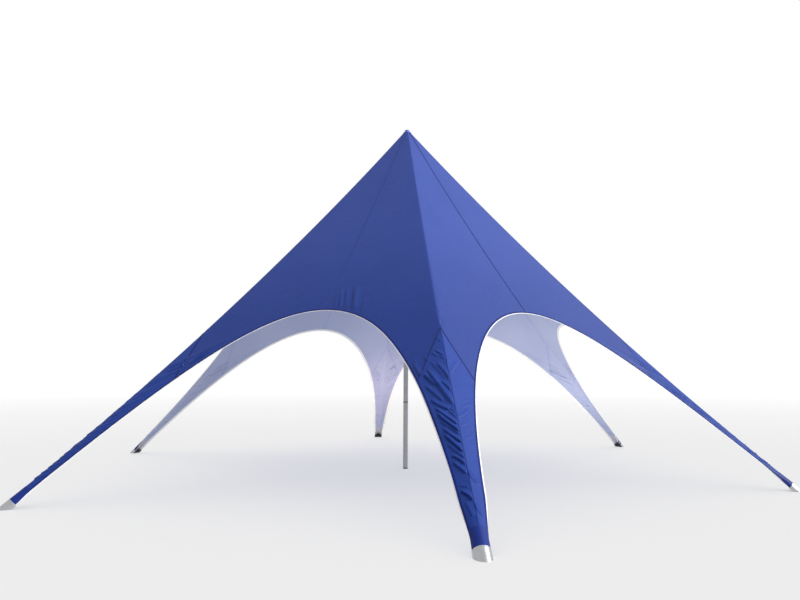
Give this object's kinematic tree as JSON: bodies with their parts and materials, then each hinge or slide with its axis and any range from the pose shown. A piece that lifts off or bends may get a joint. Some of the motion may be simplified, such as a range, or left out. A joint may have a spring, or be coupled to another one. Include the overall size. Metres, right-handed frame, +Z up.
{
  "type": "six-legged star marquee",
  "caption": "Star-shaped fabric marquee: six arched sides stretched from one centre pole down to six half-round feet.",
  "frame": {"origin": "on the ground under the centre pole", "axes": "+Z up, -Y towards the front leg, +X to the right seen from the front"},
  "size_m": [8.8286, 10.1792, 5.0113],
  "materials": {
    "cloth": "coated polyester, semi-matt, royal blue outside",
    "hem": "white woven binding",
    "aluminium": "brushed",
    "rubber": "matt black",
    "plastic": "moulded black"
  },
  "bodies": {
    "root": {"leg_panel_front": "cloth", "leg_panel_front_right": "cloth", "leg_panel_rear_right": "cloth", "leg_panel_rear": "cloth", "leg_panel_rear_left": "cloth", "leg_panel_front_left": "cloth", "crown_panel_right_of_front_leg": "cloth", "crown_panel_left_of_front_leg": "cloth", "crown_panel_right_of_front_right_leg": "cloth", "crown_panel_left_of_front_right_leg": "cloth", "crown_panel_right_of_rear_right_leg": "cloth", "crown_panel_left_of_rear_right_leg": "cloth", "crown_panel_right_of_rear_leg": "cloth", "crown_panel_left_of_rear_leg": "cloth", "crown_panel_right_of_rear_left_leg": "cloth", "crown_panel_left_of_rear_left_leg": "cloth", "crown_panel_right_of_front_left_leg": "cloth", "crown_panel_left_of_front_left_leg": "cloth", "peak_cap": "cloth", "arch_hem_front_right": "hem", "arch_hem_right": "hem", "arch_hem_rear_right": "hem", "arch_hem_rear_left": "hem", "arch_hem_left": "hem", "arch_hem_front_left": "hem", "foot_shell_front": "aluminium", "foot_shell_front_right": "aluminium", "foot_shell_rear_right": "aluminium", "foot_shell_rear": "aluminium", "foot_shell_rear_left": "aluminium", "foot_shell_front_left": "aluminium", "foot_block_front": "rubber", "foot_block_front_right": "rubber", "foot_block_rear_right": "rubber", "foot_block_rear": "rubber", "foot_block_rear_left": "rubber", "foot_block_front_left": "rubber", "pole_section_1": "aluminium", "pole_section_2": "aluminium", "pole_section_3": "aluminium", "pole_section_4": "aluminium", "pole_section_5": "aluminium", "pole_base_plug": "plastic", "pole_head": "plastic"}
  },
  "joints": []
}
